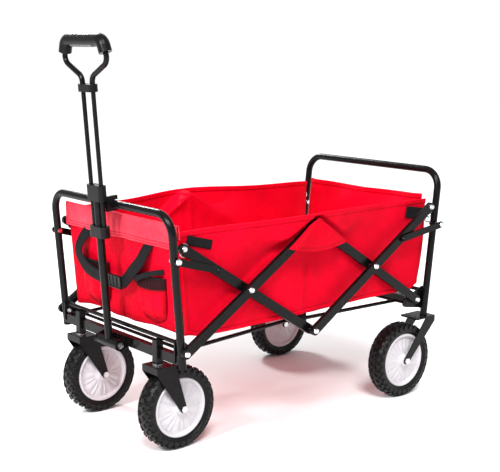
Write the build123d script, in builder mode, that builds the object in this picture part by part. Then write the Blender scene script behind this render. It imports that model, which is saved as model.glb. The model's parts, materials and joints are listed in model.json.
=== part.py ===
from build123d import *
from math import cos, hypot, radians, sin, tan
import os

os.makedirs("parts", exist_ok=True)

# A folding four-wheeled wagon: two end frames of bent tube, joined on each side by a double
# scissor of flat bars, with a fabric basket hung between them.
# Millimetres. X runs from the handle end (-X) to the back, Y across, Z up from the floor.
# The origin is on the floor, under the middle of the overall length and width.

# ---------------------------------------------------------------- driving dimensions
# wheels
wheel_diameter = 190.0
tyre_width = 44.0
rim_diameter = 138.0
rim_width = 36.0
rim_wall = 7.0
disc_wall = 4.0
disc_dish = 11.0
hub_boss_diameter = 30.0
hub_boss_width = 50.0
spoke_count = 8
spoke_thickness = 3.0
tyre_shoulder = 9.0

# end frames
tube_diameter = 18.0
tube_wall = 1.5
post_spacing = 472.0
bend_radius = 46.0
pivot_rise = 45.0
front_bar_rise = 298.0
rear_bar_rise = 328.0
front_foot_rise = 7.0
front_lean = 5.0
rear_lean = 6.5
lower_rail_height = 22.0
lower_rail_depth = 16.0
lower_rail_drop = 17.5
upper_rail_diameter = 10.0
upper_rail_rise = 18.0
plate_thickness = 4.0
plate_margin = 11.0

# scissor
arm_length = 212.0
span_length = 238.0
open_angle = 32.5
folded_angle = 77.0
bar_height = 22.0
bar_thickness = 10.0
bar_wall = 1.6
inner_bar_tail = 205.0
outer_bar_tail = 237.0
bolt_diameter = 8.0
bolt_head_diameter = 14.0
bolt_head_height = 4.0
bolt_head_taper = 25.0
rivet_tail = 1.5
rear_pivot_setback = 35.0
link_width = 16.0
link_thickness = 4.0
front_link_reach = 103.0
rear_link_reach = 110.0

# floor frames
floor_pivot_inset = 28.0
floor_pivot_drop = 7.0
floor_rod_diameter = 9.0
floor_pivot_diameter = 8.0
floor_tube_diameter = 12.0
front_floor_inset = 18.0
rear_floor_inset = 33.0
floor_pin_weld = 1.0
floor_tube_rise = 18.0
floor_rod_rise = 7.0
floor_rod_gap = 8.0

# casters and forks
caster_inset = 26.0
caster_setback = -6.0
caster_trail = 50.0
sleeve_width = 18.0
kingpin_diameter = 12.0
axle_diameter = 10.0
fork_wall = 2.5
fork_side_room = 4.0
tyre_room = 6.0
crown_wall = 4.0
crown_front = 22.0
crown_back = 28.0
crown_lip = 15.0
bearing_height = 4.0
bearing_flange = 3.0
fork_tip_radius = 9.0
rear_wheel_inset = 8.0
rear_axle_advance = 87.0
rear_crown_front = 52.0
rear_crown_back = 17.0
rear_leg_width = 32.0

# handle
handle_pivot_advance = 28.0
handle_pivot_drop = 24.0
handle_lean = 4.5
handle_tube_diameter = 18.0
slide_rod_diameter = 10.0
slide_rod_spacing = 40.0
handle_block_width = 60.0
handle_block_depth = 21.0
collar_rise = 9.1
collar_height = 36.0
slider_drop = 83.0
handle_travel = 200.0
handle_stop_room = 6.0
slider_height = 26.0
clamp_height = 17.0
clamp_edge = 1.5
clip_width = 9.0
clip_spacing = 46.0
clip_wall = 5.0
loop_tube_diameter = 12.0
loop_shoulder_rise = 32.0
loop_corner_rise = 66.0
loop_bend = 20.0
grip_rise = 111.0
grip_start = 0.42
grip_bend = 18.0
loop_half_width = 88.0
grip_half_flat = 72.0
grip_diameter = 29.0
grip_insert_length = 84.0
grip_insert_depth = 2.5
grip_insert_proud = 0.6
grip_insert_width = 0.75
pivot_sleeve_length = 78.0
pivot_sleeve_diameter = 24.0
handle_ear_height = 26.0

# basket
cloth = 2.0
basket_floor_rise = 25.0
basket_side_rise = 266.0
front_panel_drop = 31.0
rear_panel_drop = 61.0
panel_setback = 24.0
basket_side_room = 3.0
flap_half_width = 90.0
flap_peak_width = 22.0
flap_foot_width = 60.0
flap_top_rise = 12.0
flap_shoulder_drop = 47.0
flap_bottom_drop = 62.0
flap_room = 6.0
pocket_width = 112.0
pocket_height = 108.0
pocket_depth = 22.0
pocket_rise = 37.0
pocket_centre = 113.0
webbing_width = 20.0
webbing_thickness = 1.6
strap_top_rise = 213.0
strap_knee_rise = 153.0
strap_low_rise = 119.0
strap_half_top = 116.0
strap_half_knee = 124.0
strap_half_low = 80.0
buckle_length = 62.0
buckle_height = 30.0
buckle_thickness = 9.0

# fastener heads
hex_share = 0.8

# named clearances
soft_gap = 0.3
run_gap = 0.08
slide_gap = 0.3
layer_gap = 2.5
link_gap = 2.0
open_pivot_gap = 0.4
clip_gap = 0.5

# ---------------------------------------------------------------- derived layout
wheel_radius = wheel_diameter / 2
crown_top = wheel_diameter + tyre_room + crown_wall
pivot_height = crown_top + pivot_rise
front_bar_height = pivot_height + front_bar_rise
rear_bar_height = pivot_height + rear_bar_rise
front_foot_height = crown_top + front_foot_rise
rear_foot_height = crown_top
tube_radius = tube_diameter / 2
post_y = post_spacing / 2
open_cos = cos(radians(open_angle))
open_sin = sin(radians(open_angle))
folded_cos = cos(radians(folded_angle))
folded_sin = sin(radians(folded_angle))
front_slope = tan(radians(front_lean))
rear_slope = tan(radians(rear_lean))
scissor_length = 2 * (arm_length + span_length) * open_cos

# heights along the leaning handle, from its pivot
handle_axis = Vector(-sin(radians(handle_lean)), 0, cos(radians(handle_lean)))
bar_offset = Vector(handle_pivot_advance - front_slope * front_bar_rise, 0, front_bar_rise + handle_pivot_drop)
bar_back = bar_offset.X * handle_axis.Z - bar_offset.Z * handle_axis.X
bar_up = bar_offset.dot(handle_axis)
collar_low = bar_up + collar_rise
slider_low = collar_low - slider_drop
clamp_low = collar_low + collar_height + handle_travel + handle_stop_room
loop_shoulder = clamp_low + loop_shoulder_rise
loop_corner = clamp_low + loop_corner_rise
grip_reach = clamp_low + grip_rise

grip_front = handle_pivot_advance + sin(radians(handle_lean)) * grip_reach + grip_diameter / 2
rear_back = scissor_length + rear_pivot_setback + rear_slope * rear_bar_rise + tube_radius
front_x = -(rear_back - grip_front) / 2
rear_pivot_x = front_x + scissor_length
rear_x = rear_pivot_x + rear_pivot_setback
centre_x = front_x + scissor_length / 2

inner_bar_y = post_y - tube_radius + layer_gap
outer_bar_y = post_y + tube_radius + layer_gap
plate_y = post_y - tube_radius - plate_thickness
front_link_y = outer_bar_y
rear_link_y = outer_bar_y + bar_thickness + link_gap
lower_rail_z = pivot_height - lower_rail_drop
upper_rail_z = pivot_height + upper_rail_rise
floor_pivot_z = pivot_height - floor_pivot_drop
front_floor_x = front_x + floor_pivot_inset
rear_floor_x = rear_pivot_x - floor_pivot_inset

rear_wheel_spacing = post_spacing - 2 * rear_wheel_inset
caster_spacing = rear_wheel_spacing - 2 * (tyre_width + caster_inset)
front_floor_spacing = 2 * (plate_y - front_floor_inset)
rear_floor_spacing = 2 * (plate_y - rear_floor_inset)
basket_width = 2 * (plate_y - basket_side_room)
basket_floor_height = pivot_height + basket_floor_rise
basket_side_top = pivot_height + basket_side_rise
front_panel_top = front_bar_height - front_panel_drop
rear_panel_top = rear_bar_height - rear_panel_drop
pocket_low = pivot_height + pocket_rise

front_axis = Vector(-sin(radians(front_lean)), 0, cos(radians(front_lean)))
rear_axis = Vector(sin(radians(rear_lean)), 0, cos(radians(rear_lean)))
handle_pivot = Vector(front_x - handle_pivot_advance, 0, pivot_height - handle_pivot_drop)

# joints of the scissor, as (x, z) in the side view
front_pivot = (front_x, pivot_height)
front_cross = (front_x + arm_length * open_cos, pivot_height + arm_length * open_sin)
top_joint = (centre_x, front_cross[1] + span_length * open_sin)
low_joint = (centre_x, front_cross[1] - span_length * open_sin)
rear_cross = (2 * centre_x - front_cross[0], front_cross[1])
rear_pivot = (rear_pivot_x, pivot_height)
inner_tail = (front_cross[0] - inner_bar_tail * open_cos, front_cross[1] + inner_bar_tail * open_sin)
outer_tail = (rear_cross[0] + outer_bar_tail * open_cos, rear_cross[1] + outer_bar_tail * open_sin)
front_link_bar = (
    front_cross[0] - front_link_reach * open_cos,
    front_cross[1] + front_link_reach * open_sin,
)
rear_link_bar = (
    rear_cross[0] + rear_link_reach * open_cos,
    rear_cross[1] + rear_link_reach * open_sin,
)


def link_rise(reach, slope, setback=0.0):
    """The height on the post from which a link is as long with the wagon open as folded."""
    sine_gain = folded_sin - open_sin
    run = (arm_length - reach) * (open_cos - folded_cos)
    lift = 2 * arm_length * reach * (folded_sin**2 - open_sin**2)
    return (lift - run * setback) / ((arm_length + reach) * sine_gain + run * slope)


front_link_rise = link_rise(front_link_reach, front_slope)
rear_link_rise = link_rise(rear_link_reach, rear_slope, rear_pivot_setback)
front_link_post = (front_x - front_slope * front_link_rise, pivot_height + front_link_rise)
rear_link_post = (rear_x + rear_slope * rear_link_rise, pivot_height + rear_link_rise)

# caster stems, wheel centres
stem_x = front_x + caster_setback
front_wheel_x = stem_x + caster_trail
rear_wheel_x = rear_x - rear_axle_advance
sides = {"left": -1, "right": 1}
fork_inner = tyre_width / 2 + fork_side_room


def save(piece, node_name):
    piece.label = node_name
    export_step(piece, f"parts/{node_name}.step")


def side_plane(distance):
    """The XZ plane at y = -distance, facing the left side."""
    return Plane.XZ.offset(distance)


def along(origin, axis, distance=0.0):
    """A plane square to a leaning axis: its x points back along X, its y along Y."""
    return Plane(origin=Vector(*origin) + axis * distance, x_dir=Vector(axis.Z, 0, -axis.X), z_dir=axis)


def face_of(origin, axis):
    """The leaning plane of an end frame: its x points along Y, its y up the posts."""
    return Plane(origin=origin, x_dir=(0, 1, 0), z_dir=Vector(axis.Z, 0, -axis.X))


# ---------------------------------------------------------------- end frames
def post_cutters(base_x, axis):
    """The two posts as solid rods, to cope what is welded between them."""
    with BuildPart() as rods:
        for y in (-post_y, post_y):
            with BuildSketch(along((base_x, y, pivot_height), axis, -pivot_height / 2)):
                Circle(tube_radius)
            extrude(amount=rear_bar_height)
    return rods.part


def frame_tube(base_x, axis, bar_height, foot_height, link_rise):
    face = face_of((base_x, 0, pivot_height), axis)
    top = (bar_height - pivot_height) / axis.Z
    foot = (foot_height - pivot_height) / axis.Z - tube_radius
    with BuildPart() as tube:
        with BuildLine(face) as path:
            FilletPolyline((-post_y, foot), (-post_y, top), (post_y, top), (post_y, foot), radius=bend_radius)
        with BuildSketch(Plane(path.line @ 0, z_dir=path.line % 0)):
            Circle(tube_radius)
            Circle(tube_radius - tube_wall, mode=Mode.SUBTRACT)
        sweep(path=path.line)
        split(bisect_by=Plane.XY.offset(foot_height), keep=Keep.TOP)
        for rise in link_rise:
            with Locations((base_x + rise * axis.X / axis.Z, 0, pivot_height + rise)):
                Cylinder(
                    bolt_diameter / 2 + run_gap,
                    post_spacing + 2 * tube_diameter,
                    rotation=(90, 0, 0),
                    mode=Mode.SUBTRACT,
                )
    return tube.part


def lower_rail(base_x, axis):
    with BuildPart() as rail:
        with BuildSketch(side_plane(-post_y)):
            with Locations((base_x, lower_rail_z)):
                Rectangle(lower_rail_depth, lower_rail_height)
                Rectangle(
                    lower_rail_depth - 2 * tube_wall,
                    lower_rail_height - 2 * tube_wall,
                    mode=Mode.SUBTRACT,
                )
        extrude(amount=post_spacing)
        add(post_cutters(base_x, axis), mode=Mode.SUBTRACT)
    return rail.part


def upper_rail(base_x, axis):
    with BuildPart() as rail:
        with BuildSketch(side_plane(-post_y)):
            with Locations((base_x, upper_rail_z)):
                Circle(upper_rail_diameter / 2)
        extrude(amount=post_spacing)
        add(post_cutters(base_x, axis), mode=Mode.SUBTRACT)
    return rail.part


def corner_plates(base_x, pivots):
    """A flat plate inboard of each post, round the rails, with the pivot holes."""
    with BuildPart() as plates:
        with BuildSketch(side_plane(plate_y)):
            with Locations((base_x, lower_rail_z), (base_x, upper_rail_z), *pivots):
                Circle(plate_margin)
            make_hull()
            with Locations((base_x, lower_rail_z)):
                Rectangle(lower_rail_depth, lower_rail_height, mode=Mode.SUBTRACT)
            with Locations((base_x, upper_rail_z)):
                Circle(upper_rail_diameter / 2, mode=Mode.SUBTRACT)
            with Locations(*pivots):
                Circle(floor_pivot_diameter / 2 + run_gap, mode=Mode.SUBTRACT)
        extrude(amount=plate_thickness)
        mirror(about=Plane.XZ)
    return plates.part


save(
    frame_tube(front_x, front_axis, front_bar_height, front_foot_height, (0.0, front_link_rise)),
    "front_frame_tube",
)
save(
    frame_tube(rear_x, rear_axis, rear_bar_height, rear_foot_height, (rear_link_rise,)),
    "rear_frame_tube",
)

front_posts = post_cutters(front_x, front_axis)
stem_points = [(stem_x, -caster_spacing / 2), (stem_x, caster_spacing / 2)]
upper_rail_bottom = upper_rail_z - upper_rail_diameter / 2
sleeve_low = crown_top + bearing_height

with BuildPart() as caster_sleeves:
    with BuildSketch(Plane.XY.offset(sleeve_low)):
        with Locations(*stem_points):
            RectangleRounded(sleeve_width, sleeve_width, tube_wall)
            Circle(kingpin_diameter / 2 + run_gap, mode=Mode.SUBTRACT)
    extrude(amount=upper_rail_bottom - sleeve_low)
save(caster_sleeves.part, "caster_sleeves")

front_lower_rail = lower_rail(front_x, front_axis)
with BuildPart() as notched_rail:
    add(front_lower_rail)
    with BuildSketch(Plane.XY.offset(sleeve_low)):
        with Locations(*stem_points):
            Rectangle(sleeve_width, sleeve_width)
    extrude(amount=upper_rail_bottom - sleeve_low, mode=Mode.SUBTRACT)
save(notched_rail.part, "front_lower_rail")
save(upper_rail(front_x, front_axis), "front_upper_rail")
save(corner_plates(front_x, [front_pivot, (front_floor_x, floor_pivot_z)]), "front_corner_plates")

save(lower_rail(rear_x, rear_axis), "rear_lower_rail")
save(upper_rail(rear_x, rear_axis), "rear_upper_rail")
save(
    corner_plates(rear_x, [rear_pivot, (rear_floor_x, floor_pivot_z)]),
    "rear_corner_plates",
)


# ---------------------------------------------------------------- scissor bars
def bar_pair(start, end, y_face, holes, hole_gap=run_gap):
    """A pressed channel bar on each side, open towards the basket, with a boss at each pin."""
    length = hypot(end[0] - start[0], end[1] - start[1])
    angle = Vector(end[0] - start[0], end[1] - start[1]).get_signed_angle(Vector(1, 0), Vector(0, 0, -1))
    middle = ((start[0] + end[0]) / 2, (start[1] + end[1]) / 2)
    with BuildPart() as bars:
        with BuildSketch(side_plane(y_face)):
            with Locations(middle):
                SlotCenterToCenter(length, bar_height, rotation=angle)
        extrude(amount=bar_thickness)
        fillet(bars.faces().sort_by(Axis.Y)[0].edges(), bar_wall / 2)
        with BuildSketch(side_plane(y_face)):
            with Locations(middle):
                SlotCenterToCenter(length, bar_height - 2 * bar_wall, rotation=angle)
            with Locations(*holes):
                Circle(bolt_head_diameter / 2, mode=Mode.SUBTRACT)
        extrude(amount=bar_thickness - bar_wall, mode=Mode.SUBTRACT)
        with BuildSketch(side_plane(y_face)):
            with Locations(*holes):
                Circle(bolt_diameter / 2 + hole_gap)
        extrude(amount=bar_thickness, mode=Mode.SUBTRACT)
        mirror(about=Plane.XZ)
    return bars.part


def pins(stations):
    """Headed pins on both sides: (point, inner y, outer y) of each shank, heads outboard of it."""
    with BuildPart() as group:
        for point, y_inner, y_outer in stations:
            with BuildSketch(side_plane(y_inner)):
                with Locations(point):
                    Circle(bolt_diameter / 2)
            extrude(amount=y_outer - y_inner)
            with BuildSketch(side_plane(y_outer)):
                with Locations(point):
                    Circle(bolt_head_diameter / 2)
            extrude(amount=bolt_head_height, taper=bolt_head_taper)
            with BuildSketch(side_plane(y_inner)):
                with Locations(point):
                    Circle(bolt_diameter / 2 + rivet_tail)
            extrude(amount=-rivet_tail)
        mirror(about=Plane.XZ)
    return group.part


inner_face = inner_bar_y + bar_thickness
outer_face = outer_bar_y + bar_thickness
save(bar_pair(front_pivot, top_joint, outer_bar_y, [front_pivot, front_cross, top_joint]), "front_outer_bars")
save(bar_pair(inner_tail, low_joint, inner_bar_y, [inner_tail, front_cross, low_joint]), "front_inner_bars")
save(bar_pair(top_joint, rear_pivot, inner_bar_y, [top_joint, rear_cross, rear_pivot]), "rear_inner_bars")
save(bar_pair(low_joint, outer_tail, outer_bar_y, [low_joint, rear_cross, outer_tail]), "rear_outer_bars")

pin_room = link_gap / 4
post_inner = post_y - tube_radius
post_outer = post_y + tube_radius
save(
    pins(
        [
            (front_pivot, plate_y - pin_room, outer_face + pin_room),
            (front_link_post, post_inner - pin_room, front_link_y + link_thickness + pin_room),
        ]
    ),
    "front_post_bolts",
)
save(
    pins(
        [
            (front_cross, inner_bar_y - pin_room, outer_face + pin_room),
            (top_joint, inner_bar_y - pin_room, outer_face + pin_room),
        ]
    ),
    "front_outer_rivets",
)
save(
    pins(
        [
            (inner_tail, inner_bar_y - pin_room, inner_face + pin_room),
            (low_joint, inner_bar_y - pin_room, outer_face + pin_room),
        ]
    ),
    "front_inner_rivets",
)
save(
    pins(
        [
            (rear_cross, inner_bar_y - pin_room, outer_face + pin_room),
            (outer_tail, outer_bar_y - pin_room, outer_face + pin_room),
        ]
    ),
    "rear_outer_rivets",
)
save(
    pins(
        [
            (rear_pivot, plate_y - pin_room, inner_face + pin_room),
            (rear_link_post, post_inner - pin_room, rear_link_y + link_thickness + pin_room),
        ]
    ),
    "rear_post_bolts",
)


# ---------------------------------------------------------------- short links
def link_pair(post_point, bar_point, y_face, stub_face):
    """A flat link on each side, drilled at the post, with a rivet that stops short of its bar."""
    length = hypot(bar_point[0] - post_point[0], bar_point[1] - post_point[1])
    angle = Vector(bar_point[0] - post_point[0], bar_point[1] - post_point[1]).get_signed_angle(
        Vector(1, 0), Vector(0, 0, -1)
    )
    middle = ((post_point[0] + bar_point[0]) / 2, (post_point[1] + bar_point[1]) / 2)
    with BuildPart() as links:
        with BuildSketch(side_plane(y_face)):
            with Locations(middle):
                SlotCenterToCenter(length, link_width, rotation=angle)
            with Locations(post_point):
                Circle(bolt_diameter / 2 + run_gap, mode=Mode.SUBTRACT)
        extrude(amount=link_thickness)
        with BuildSketch(side_plane(y_face + link_thickness)):
            with Locations(bar_point):
                Circle(bolt_head_diameter / 2)
        extrude(amount=bolt_head_height, taper=bolt_head_taper)
        with BuildSketch(side_plane(stub_face + open_pivot_gap)):
            with Locations(bar_point):
                Circle(bolt_diameter / 2)
        extrude(amount=y_face - stub_face - open_pivot_gap)
        mirror(about=Plane.XZ)
    return links.part


save(link_pair(front_link_post, front_link_bar, front_link_y, inner_face), "front_links")
save(link_pair(rear_link_post, rear_link_bar, rear_link_y, outer_face), "rear_links")


# ---------------------------------------------------------------- floor frames
def floor_frame(pivot_x, tip_x, tip_z, spacing, tube):
    """A hinge rod between the corner plates and two side rods; the front one ends in a cross tube."""
    reach = hypot(tip_x - pivot_x, tip_z - floor_pivot_z)
    run = Vector(tip_x - pivot_x, 0, tip_z - floor_pivot_z).normalized()
    hinge_end = post_y - tube_radius + floor_pin_weld
    with BuildPart() as frame:
        with BuildSketch(side_plane(-hinge_end)):
            with Locations((pivot_x, floor_pivot_z)):
                Circle(floor_pivot_diameter / 2)
        extrude(amount=2 * hinge_end)
        for y in (-spacing / 2, spacing / 2):
            with BuildSketch(Plane(origin=(pivot_x, y, floor_pivot_z), z_dir=run)):
                Circle(floor_rod_diameter / 2)
            extrude(amount=reach)
        if tube:
            with BuildSketch(side_plane(-spacing / 2 - floor_rod_diameter)):
                with Locations((tip_x, tip_z)):
                    Circle(floor_tube_diameter / 2)
            extrude(amount=spacing + 2 * floor_rod_diameter)
    return frame.part


save(
    floor_frame(front_floor_x, centre_x, floor_pivot_z + floor_tube_rise, front_floor_spacing, True),
    "front_floor_frame",
)
save(
    floor_frame(
        rear_floor_x, centre_x + floor_rod_gap, floor_pivot_z + floor_rod_rise, rear_floor_spacing, False
    ),
    "rear_floor_frame",
)


# ---------------------------------------------------------------- wheels
def tyre(x, y):
    half = tyre_width / 2
    with BuildPart() as ring:
        with BuildSketch(Plane(origin=(x, y, wheel_radius), x_dir=(1, 0, 0), z_dir=(0, 0, 1))):
            with Locations(((wheel_radius + rim_diameter / 2) / 2, 0)):
                RectangleRounded(wheel_radius - rim_diameter / 2, 2 * half, tyre_shoulder)
        revolve(axis=Axis((x, y, wheel_radius), (0, 1, 0)))
        with BuildSketch(Plane(origin=(x, y, wheel_radius), x_dir=(1, 0, 0), z_dir=(0, -1, 0))):
            Circle(rim_diameter / 2)
        extrude(amount=rim_width / 2, both=True, mode=Mode.SUBTRACT)
    return ring.part


def wheel_hub(x, y):
    outer = rim_diameter / 2
    boss = hub_boss_diameter / 2
    bore = axle_diameter / 2 + run_gap
    centre = (x, y, wheel_radius)
    outward = -1 if y < 0 else 1
    face = Plane(origin=centre, x_dir=(1, 0, 0), z_dir=(0, -1, 0))
    with BuildPart() as hub:
        with BuildSketch(face):
            Circle(outer)
            Circle(outer - rim_wall, mode=Mode.SUBTRACT)
        extrude(amount=rim_width / 2, both=True)
        with BuildSketch(Plane(origin=centre, x_dir=(1, 0, 0), z_dir=(0, 0, 1))):
            with BuildLine():
                Polyline(
                    (boss - 1, outward * (disc_dish + disc_wall)),
                    (outer - rim_wall + 1, outward * disc_wall),
                    (outer - rim_wall + 1, 0),
                    (boss - 1, outward * disc_dish),
                    close=True,
                )
            make_face()
        revolve(axis=Axis(centre, (0, 1, 0)))
        with BuildSketch(face):
            with PolarLocations((outer + boss - rim_wall) / 2, spoke_count):
                Rectangle(outer - rim_wall - boss + 2, spoke_thickness)
        extrude(amount=rim_width / 2 - disc_wall, both=True)
        with BuildSketch(face):
            Circle(boss)
        extrude(amount=hub_boss_width / 2, both=True)
        with BuildSketch(face):
            Circle(bore)
        extrude(amount=hub_boss_width, both=True, mode=Mode.SUBTRACT)
    return hub.part


wheel_places = {}
for side, sign in sides.items():
    wheel_places[f"front_{side}"] = (front_wheel_x, sign * caster_spacing / 2)
    wheel_places[f"rear_{side}"] = (rear_wheel_x, sign * rear_wheel_spacing / 2)
for place, (x, y) in wheel_places.items():
    save(tyre(x, y), f"tyre_{place}")
    save(wheel_hub(x, y), f"wheel_{place}")


# ---------------------------------------------------------------- forks and axles
def fork(x, y, axle_x, crown_low_x, crown_high_x, leg_low_x, leg_high_x, lip):
    """Two plate legs from the crown to the axle, and the crown plate across them."""
    crown_low = crown_top - crown_wall
    half = fork_inner + fork_wall
    with BuildPart() as body:
        for y_face in (-half, fork_inner):
            with BuildSketch(side_plane(-y - y_face)):
                with Locations(((leg_low_x + leg_high_x) / 2, crown_top - crown_lip / 2)):
                    Rectangle(leg_high_x - leg_low_x, crown_lip)
                with Locations((axle_x, wheel_radius)):
                    Circle(fork_tip_radius)
                make_hull()
                with Locations((axle_x, wheel_radius)):
                    Circle(axle_diameter / 2, mode=Mode.SUBTRACT)
            extrude(amount=-fork_wall)
        with BuildSketch(Plane.XY.offset(crown_low)):
            with Locations(((crown_low_x + crown_high_x) / 2, y)):
                RectangleRounded(crown_high_x - crown_low_x, 2 * half, fork_wall)
        extrude(amount=crown_wall)
        if lip:
            with BuildSketch(Plane.XY.offset(crown_top - crown_lip)):
                with Locations((crown_low_x + fork_wall / 2, y)):
                    Rectangle(fork_wall, 2 * half)
            extrude(amount=crown_lip)
    return body.part


def axle_bolt(x, y):
    """A bolt through both fork legs, hexagon head outboard and nut inboard."""
    outward = -1 if y < 0 else 1
    grip = fork_inner + fork_wall
    centre = (x, y, wheel_radius)
    face = Plane(origin=centre, x_dir=(1, 0, 0), z_dir=(0, outward, 0))
    with BuildPart() as bolt:
        with BuildSketch(face):
            Circle(axle_diameter / 2)
        extrude(amount=grip, both=True)
        with BuildSketch(face.offset(grip)):
            RegularPolygon(axle_diameter * hex_share, 6)
        extrude(amount=bolt_head_height)
        with BuildSketch(face.offset(-grip)):
            RegularPolygon(axle_diameter * hex_share, 6)
        extrude(amount=-bolt_head_height)
    return bolt.part


for side, sign in sides.items():
    y = sign * caster_spacing / 2
    save(
        fork(
            stem_x,
            y,
            front_wheel_x,
            stem_x - crown_front,
            stem_x + crown_back,
            stem_x - crown_front,
            stem_x + crown_back,
            True,
        ),
        f"caster_fork_{side}",
    )
    with BuildPart() as kingpin:
        with BuildSketch(Plane.XY.offset(crown_top)):
            with Locations((stem_x, y)):
                Circle(kingpin_diameter / 2)
        extrude(amount=upper_rail_bottom - crown_top - bearing_height)
        with BuildSketch(Plane.XY.offset(crown_top)):
            with Locations((stem_x, y)):
                Circle(sleeve_width / 2 + bearing_flange)
        extrude(amount=bearing_height - slide_gap)
    save(kingpin.part, f"caster_kingpin_{side}")
    save(axle_bolt(front_wheel_x, y), f"caster_axle_{side}")
    y = sign * rear_wheel_spacing / 2
    save(
        fork(
            rear_x,
            y,
            rear_wheel_x,
            rear_x - rear_crown_front,
            rear_x + rear_crown_back,
            rear_x + rear_crown_back - rear_leg_width,
            rear_x + rear_crown_back,
            False,
        ),
        f"rear_fork_{side}",
    )

with BuildPart() as rear_axles:
    for sign in sides.values():
        add(axle_bolt(rear_wheel_x, sign * rear_wheel_spacing / 2))
save(rear_axles.part, "rear_axles")


# ---------------------------------------------------------------- pulling handle
def handle_plane(height):
    return along(tuple(handle_pivot), handle_axis, height)


handle_face = Plane(origin=handle_pivot, x_dir=(0, 1, 0), z_dir=Vector(handle_axis.Z, 0, -handle_axis.X))
rod_places = [(0, -slide_rod_spacing / 2), (0, slide_rod_spacing / 2)]
handle_tube_top = collar_low + collar_height - clip_wall

with BuildPart() as pivot_sleeve:
    with BuildSketch(side_plane(-pivot_sleeve_length / 2)):
        with Locations((handle_pivot.X, handle_pivot.Z)):
            Circle(pivot_sleeve_diameter / 2)
            Circle(axle_diameter / 2 + run_gap, mode=Mode.SUBTRACT)
    extrude(amount=pivot_sleeve_length)
save(pivot_sleeve.part, "handle_pivot_sleeve")

with BuildPart() as handle_tube:
    with BuildSketch(handle_plane(pivot_sleeve_diameter / 4)):
        Circle(handle_tube_diameter / 2)
        Circle(handle_tube_diameter / 2 - tube_wall, mode=Mode.SUBTRACT)
    extrude(amount=handle_tube_top - pivot_sleeve_diameter / 4)
    add(pivot_sleeve.part, mode=Mode.SUBTRACT)
save(handle_tube.part, "handle_tube")

with BuildPart() as handle_collar:
    with BuildSketch(handle_plane(collar_low)):
        RectangleRounded(handle_block_depth, handle_block_width, handle_block_depth / 2 - 1)
    extrude(amount=collar_height)
    for y in (-clip_spacing / 2, clip_spacing / 2):
        clip_low = bar_up - tube_radius - clip_gap - clip_wall
        clip_back = bar_back + tube_radius
        with BuildSketch(handle_plane(clip_low)):
            with Locations(((slide_rod_diameter / 2 + clip_back + slide_gap) / 2 + 1, y)):
                Rectangle(clip_back - slide_rod_diameter / 2 - slide_gap - 2, clip_width)
        extrude(amount=collar_low + clip_wall * 2 - clip_low)
    bar_mouth = Plane(
        origin=handle_pivot + handle_axis * bar_up,
        x_dir=Vector(handle_axis.Z, 0, -handle_axis.X),
        z_dir=(0, -1, 0),
    )
    with BuildSketch(bar_mouth):
        with Locations((bar_back, 0)):
            Circle(tube_radius + clip_gap)
        with Locations((bar_back + tube_diameter, 0)):
            Rectangle(2 * tube_diameter, tube_diameter + 2 * clip_gap)
    extrude(amount=handle_block_width, both=True, mode=Mode.SUBTRACT)
    with BuildSketch(handle_plane(collar_low)):
        Circle(handle_tube_diameter / 2)
    extrude(amount=handle_tube_top - collar_low, mode=Mode.SUBTRACT)
    with BuildSketch(handle_plane(bar_up - tube_diameter)):
        with Locations(*rod_places):
            Circle(slide_rod_diameter / 2 + slide_gap)
    extrude(amount=collar_height + 2 * tube_diameter, mode=Mode.SUBTRACT)
save(handle_collar.part, "handle_collar")

rod_low = slider_low + clip_wall
rod_high = clamp_low + clamp_height / 2
with BuildPart() as slide_rods:
    with BuildSketch(handle_plane(rod_low)):
        with Locations(*rod_places):
            Circle(slide_rod_diameter / 2)
    extrude(amount=rod_high - rod_low)
save(slide_rods.part, "slide_rods")

with BuildPart() as handle_slider:
    with BuildSketch(handle_plane(slider_low)):
        RectangleRounded(handle_block_depth + 2 * tube_wall, handle_block_width, handle_block_depth / 2)
        Circle(handle_tube_diameter / 2 + slide_gap, mode=Mode.SUBTRACT)
    extrude(amount=slider_height)
    add(slide_rods.part, mode=Mode.SUBTRACT)
save(handle_slider.part, "handle_slider")

with BuildPart() as handle_loop:
    with BuildLine(handle_face) as loop_path:
        FilletPolyline(
            (-slide_rod_spacing / 2, rod_high),
            (-slide_rod_spacing / 2, loop_shoulder),
            (-loop_half_width, loop_corner),
            (-grip_half_flat, grip_reach),
            (grip_half_flat, grip_reach),
            (loop_half_width, loop_corner),
            (slide_rod_spacing / 2, loop_shoulder),
            (slide_rod_spacing / 2, rod_high),
            radius=loop_bend,
        )
    with BuildSketch(Plane(loop_path.line @ 0, z_dir=loop_path.line % 0)):
        Circle(loop_tube_diameter / 2)
    sweep(path=loop_path.line)
save(handle_loop.part, "handle_loop")

with BuildPart() as handle_top_clamp:
    with BuildSketch(handle_plane(clamp_low)):
        RectangleRounded(handle_block_depth, handle_block_width, handle_block_depth / 2 - 1)
    extrude(amount=clamp_height)
    fillet(handle_top_clamp.faces().sort_by(Axis.Z)[-1].edges(), clamp_edge)
    add(slide_rods.part, mode=Mode.SUBTRACT)
    add(handle_loop.part, mode=Mode.SUBTRACT)
save(handle_top_clamp.part, "handle_top_clamp")

insert_plane = Plane(
    origin=handle_pivot + handle_axis * grip_reach,
    x_dir=Vector(handle_axis.Z, 0, -handle_axis.X),
    z_dir=(0, -1, 0),
)
with BuildPart() as grip_insert:
    with BuildSketch(insert_plane):
        Circle(grip_diameter / 2 + grip_insert_proud)
        Circle(grip_diameter / 2 - grip_insert_depth, mode=Mode.SUBTRACT)
        with Locations((0, -grip_diameter)):
            Rectangle(grip_diameter * grip_insert_width, 2 * grip_diameter - grip_diameter / 2, mode=Mode.INTERSECT)
    extrude(amount=grip_insert_length / 2, both=True)
save(grip_insert.part, "grip_insert")

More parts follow.
